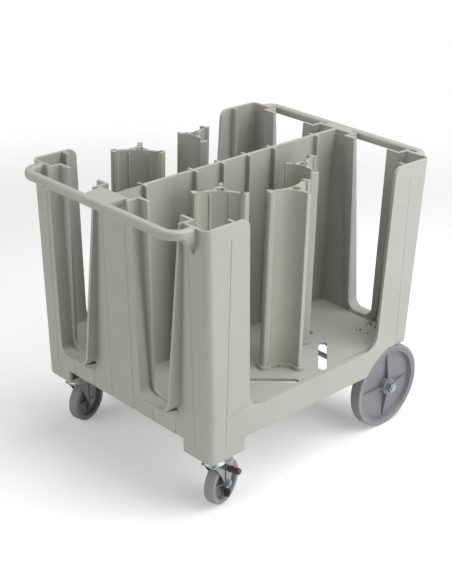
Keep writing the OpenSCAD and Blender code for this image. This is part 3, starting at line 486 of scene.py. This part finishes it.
# Rounds the sharp edges of a mesh: less where an edge turns tightly, has a narrow face beside it or
# is shallow, and not where the rounding would turn a face inside out
def roundEdges(mesh, look):
    bm = bmesh.new()
    bm.from_mesh(mesh)
    bmesh.ops.remove_doubles(bm, verts=bm.verts, dist=meshLook["samePoint"])
    bmesh.ops.dissolve_degenerate(bm, edges=bm.edges, dist=meshLook["tinyEdge"])
    if look["joined"]:
        bmesh.ops.dissolve_limit(bm, angle_limit=math.radians(meshLook["flat"]), verts=bm.verts,
                                 edges=bm.edges)
    bm.edges.ensure_lookup_table()
    bm.edges.index_update()
    angle = np.array([e.calc_face_angle(0.0) for e in bm.edges])
    sharp = angle > math.radians(look["angle"])
    limit = np.minimum(look["tight"] * turnRadii(bm, sharp), look["room"] * roomBeside(bm, sharp))
    weight = np.where(sharp & (limit > look["least"]), np.minimum(1.0, limit / look["width"]), 0.0)
    weight[sharp & (angle < math.radians(look["shallow"]))] *= look["shallowShare"]
    tree = BVHTree.FromBMesh(bm)
    bm.to_mesh(mesh)
    bm.free()
    mesh.attributes.new("bevel_weight_edge", "FLOAT", "EDGE")
    out = bevelled(mesh, weight, look)
    for mend in range(look["mends"]):
        reach = meshLook["mendReach"] * look["width"]
        weight[edgesNear(mesh, turnedCorners(out, tree), reach)] = 0
        out = bevelled(mesh, weight, look)
    return out


# One visible piece with rounded edges in place of some CAD pieces
def softened(name, names, look, finish, rods=()):
    mesh = unitedMesh(names, rods)
    mesh = roundEdges(mesh, look)
    mesh.name = name
    mesh.materials.clear()
    mesh.materials.append(finishes[finish])
    mesh.polygons.foreach_set("use_smooth", np.ones(len(mesh.polygons), bool))
    obj = newObject(name, mesh)
    m = obj.modifiers.new("shade", "WEIGHTED_NORMAL")
    m.weight, m.keep_sharp = 100, False
    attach(obj, bodyOf[names[0]])
    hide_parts(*names)
    return obj


# Moulded body: one shell with soft edges. In every look of this kind, width is in m, angle is the
# least that is rounded, tight and room say how much of a turn's radius and of the room is taken,
# and a shallow edge gets its share of the width; less than least is left sharp
bodyLook = {
    "nodes": ("body_base", "skirt", "caster_boss_left", "caster_boss_right", "handle_end_wall",
              "wheel_end_wall", "centre_wall"),
    "edges": {"width": 0.0018, "segments": 2, "angle": 28, "tight": 0.7, "shallow": 62,
              "shallowShare": 0.6, "room": 0.42, "least": 0.0006, "clamp": False,
              "joined": False, "mends": 2},
}


# Rods that cut the upright grooves of posts and end walls: each runs through the points of a line,
# y and z on a leaning end wall, or goes straight up at one x on a post
def uprightGrooves(g):
    lean = math.tan(math.radians(g["lean"]))
    out = g["radius"] - g["deep"]
    rods = []
    for end in (-1, 1):
        for side in (-1, 1):
            for line in g["walls"]:
                points = [(end * (g["halfTop"] - (g["top"] - z) * lean + out) + g["shift"], side * y, z)
                          for y, z in line]
                rods += list(zip(points[:-1], points[1:]))
            x, low, high = g["post"]
            rods.append(tuple((end * x + g["shift"], side * (g["halfWidth"] + out), z)
                              for z in (low, high)))
    return [([v * mm for v in a], [v * mm for v in b], g["radius"] * mm) for a, b in rods]


# Sizes in mm as in the CAD source, the lean in degrees
grooveLook = {
    "radius": 4.5, "deep": 1.5, "lean": 2.78,
    "halfTop": 412, "top": 814, "halfWidth": 336, "shift": 3.5,
    "post": (330, 213, 776),
    "walls": (((45.76, 177.5), (44, 290), (44.1, 738)), ((282, 212), (281, 290), (275, 738))),
}
body = softened("bodyMoulding", list(bodyLook["nodes"]), bodyLook["edges"], "body",
                uprightGrooves(grooveLook))
print("body moulded:", len(body.data.vertices), "points")

# Towers, with a small round on every edge
towerLook = {"width": 0.0012, "segments": 2, "angle": 30, "tight": 0.6, "shallow": 40,
             "shallowShare": 0.5, "room": 0.42, "least": 0.0004, "clamp": False,
             "joined": False, "mends": 1}
for i in range(1, 6):
    softened(f"towerMoulding{i}", [f"tower_{i}"], towerLook, "tower")
print("towers moulded")

# Pressed and turned steel of the casters and brackets, and the wheels' mouldings
steelLook = {"width": 0.0005, "segments": 2, "angle": 35, "tight": 0.5, "shallow": 36,
             "shallowShare": 1.0, "room": 0.42, "least": 0.0, "clamp": True,
             "joined": True, "mends": 0}
coreLook = {"width": 0.0008, "segments": 2, "angle": 35, "tight": 0.5, "shallow": 36,
            "shallowShare": 1.0, "room": 0.42, "least": 0.0, "clamp": True,
            "joined": True, "mends": 0}
for side in ("left", "right"):
    cap = side.capitalize()
    for node, name in (("caster_fork", "casterFork"), ("caster_plate", "casterPlate"),
                       ("brake_lever", "brakeLever"), ("caster_axle", "casterAxle"),
                       ("axle_bracket", "axleBracket")):
        softened(name + cap, [f"{node}_{side}"], steelLook, slotFinish[slotOf[f"{node}_{side}"]])
    softened("wheelCore" + cap, ["wheel_core_" + side], coreLook, "wheel")
    softened("casterCore" + cap, ["caster_core_" + side], coreLook, "wheel")
    softened("brakeShoe" + cap, ["brake_shoe_" + side], steelLook, "rubber")
    softened("brakePedal" + cap, ["brake_pedal_" + side], coreLook, "dark")
softened("axleNuts", ["axle_nuts"], steelLook, "plate")
softened("tieNuts", ["clamp_nut_1"], steelLook, "plate")
print("steel and wheels softened")


# A closed outline of radius and height turned round an axis: each point goes through a full circle
def turnedMesh(name, outline, steps, centre, axis):
    outline = np.array(outline)
    a = np.linspace(0, 2 * math.pi, steps, endpoint=False)
    axis = np.array(axis) / np.linalg.norm(axis)
    first = np.cross(axis, (0, 0, 1) if abs(axis[2]) < 0.9 else (1, 0, 0))
    first = first / np.linalg.norm(first)
    second = np.cross(axis, first)
    ring = np.cos(a)[:, None] * first + np.sin(a)[:, None] * second
    reach, height = outline[None, :, 0, None], outline[None, :, 1, None]
    points = np.array(centre) + reach * ring[:, None, :] + height * axis
    n = len(outline)
    i, j = np.meshgrid(np.arange(steps), np.arange(n), indexing="ij")
    here, there, ahead = i * n, (i + 1) % steps * n, (j + 1) % n
    quads = np.stack((here + j, here + ahead, there + ahead, there + j), -1)
    mesh = bpy.data.meshes.new(name)
    mesh.from_pydata(points.reshape(-1, 3).tolist(), [], quads.reshape(-1, 4).tolist())
    bm = bmesh.new()
    bm.from_mesh(mesh)
    bmesh.ops.recalc_face_normals(bm, faces=bm.faces)
    bm.to_mesh(mesh)
    bm.free()
    mesh.polygons.foreach_set("use_smooth", np.ones(len(mesh.polygons), bool))
    return mesh


def arcPoints(centre, radius, start, end, steps):
    a = np.radians(np.linspace(start, end, steps + 1))
    return (np.array(centre) + radius * np.stack((np.cos(a), np.sin(a)), 1)).tolist()


# Outline of a tyre: a slightly crowned tread, round shoulders and a groove beside the rim
def tyreOutline(t, look):
    r, half, s, c = t["outer"], t["half"], t["shoulder"], t["crown"]
    side = arcPoints((r - c - s, half - s), s, *look["shoulderArc"])
    edge = half - s * look["treadFrom"]
    y = np.linspace(edge, -edge, look["treadPoints"])
    tread = np.stack((r - c * (y / half) ** 2, y), 1).tolist()
    other = [[x, -v] for x, v in reversed(side)]
    inner, lip = t["inner"], t["lip"]
    seam = [[inner, half - lip], [inner + lip, half - lip / 2], [inner + 1.5 * lip, half]]
    return seam + side + tread + other + [[x, -v] for x, v in reversed(seam)]


def makeTyre(name, node, t, look, centre, axis):
    mesh = turnedMesh(name, tyreOutline(t, look), look["steps"], centre, axis)
    mesh.materials.append(finishes["tyre"])
    obj = newObject(name, mesh)
    m = obj.modifiers.new("shade", "WEIGHTED_NORMAL")
    m.weight = look["shadeWeight"]
    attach(obj, bodyOf[node])
    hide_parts(node)


jointOf = {j["child"]: j for j in frame["record"]["behaviour"]["joints"]}
tyreLook = {
    "steps": 160,
    "shoulderArc": (90, 5, 8),              # degrees from and to, steps
    "treadFrom": 1.4,                       # times the shoulder, in from the side
    "treadPoints": 13,
    "shadeWeight": 60,
}
# Sizes in m, as in the CAD pieces
tyreSizes = {
    "wheel": {"outer": 0.127, "inner": 0.116, "half": 0.017,
              "shoulder": 0.004, "crown": 0.0006, "lip": 0.0008},
    "caster": {"outer": 0.0635, "inner": 0.052, "half": 0.015,
               "shoulder": 0.0042, "crown": 0.0006, "lip": 0.0007},
}
for side in ("left", "right"):
    for kind, node in (("wheel", "wheel_tyre_"), ("caster", "caster_tyre_")):
        lo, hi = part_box(node + side)
        centre = [(p + q) / 2 for p, q in zip(lo, hi)]
        makeTyre(kind + "Tyre" + side.capitalize(), node + side, tyreSizes[kind], tyreLook, centre,
                 jointOf[bodyOf[node + side]]["axis"])
print("tyres turned")


# Studio: pale floor that reads white to the camera, soft lamps
studio = {
    "world": 0.13,
    "white": 1.0,
    "glossyShare": 0.6,                     # of the white, where a glossy surface mirrors it
    "floor": (0.94, 0.94, 0.94, 1),
    "floorRoughness": 0.9,
    "floorLift": 0.25,
    "floorReach": 3.0,                      # m, where the floor has faded out
    "floorFade": (0.5, 1.0),                # shares of the reach
    "aim": (0, 0, 0.4),                     # m, what every lamp points at
    "lamps": {                              # m, m and W
        "key": {"place": (0.9, -2.5, 1.1), "size": 4.2, "power": 84},
        "top": {"place": (0.5, -0.6, 2.9), "size": 2.6, "power": 66},
        "fill": {"place": (-3.0, 1.0, 1.3), "size": 2.8, "power": 44},
    },
}


def makeLamp(name, aim, place, size, power):
    lamp = bpy.data.lights.new(name, "AREA")
    lamp.shape = "DISK"
    lamp.size = size
    lamp.energy = power
    obj = bpy.data.objects.new(name, lamp)
    obj.location = place
    obj.rotation_euler = (Vector(aim) - Vector(place)).to_track_quat("-Z", "Y").to_euler()
    bpy.context.scene.collection.objects.link(obj)


# A world that is dim to the surfaces, white to the camera and partly white in reflections
def makeWorld(s):
    world = bpy.data.worlds.new("studioWorld")
    bpy.context.scene.world = world
    world.use_nodes = True
    tree = world.node_tree
    tree.nodes.clear()
    rays = tree.nodes.new("ShaderNodeLightPath")
    soft = tree.nodes.new("ShaderNodeBackground")
    white = tree.nodes.new("ShaderNodeBackground")
    for n, strength in ((soft, s["world"]), (white, s["white"])):
        n.inputs["Color"].default_value = (1, 1, 1, 1)
        n.inputs["Strength"].default_value = strength
    mix = tree.nodes.new("ShaderNodeMixShader")
    out = tree.nodes.new("ShaderNodeOutputWorld")
    glossy = Wire(tree, rays.outputs["Is Glossy Ray"]) * s["glossyShare"]
    sees = Wire(tree, rays.outputs["Is Camera Ray"]) + glossy
    sees = (sees + Wire(tree, rays.outputs["Is Transmission Ray"])).clamped()
    tree.links.new(sees.socket, mix.inputs[0])
    tree.links.new(soft.outputs[0], mix.inputs[1])
    tree.links.new(white.outputs[0], mix.inputs[2])
    tree.links.new(mix.outputs[0], out.inputs[0])


# A floor that shade darkens: lit, it is white to the camera, and it fades out with distance
def makeFloor(s):
    f = Finish("studioFloor")
    away = f.node("ShaderNodeVectorMath", out=1, Vector=f.where)
    away.socket.node.operation = "LENGTH"
    seen = Wire(f.tree, f.tree.nodes.new("ShaderNodeLightPath").outputs["Is Camera Ray"])
    f.set(Base_Color=s["floor"], Roughness=s["floorRoughness"],
          Emission_Color=f.mix((0, 0, 0, 1), (1, 1, 1, 1), seen), Emission_Strength=s["floorLift"],
          Alpha=f.ramp(away / s["floorReach"], *s["floorFade"], levels=(1, 0), smooth="EASE"))
    size = s["floorReach"]
    corners = [(-size, -size, 0), (size, -size, 0), (size, size, 0), (-size, size, 0)]
    mesh = bpy.data.meshes.new("studioFloor")
    mesh.from_pydata(corners, [], [(0, 1, 2, 3)])
    floor = bpy.data.objects.new("studioFloor", mesh)
    bpy.context.scene.collection.objects.link(floor)
    mesh.materials.append(f.material)


makeWorld(studio)
for name, lamp in studio["lamps"].items():
    makeLamp(name + "Lamp", studio["aim"], **lamp)
makeFloor(studio)
view = bpy.context.scene.view_settings
view.view_transform = "Standard"
print("studio lit")
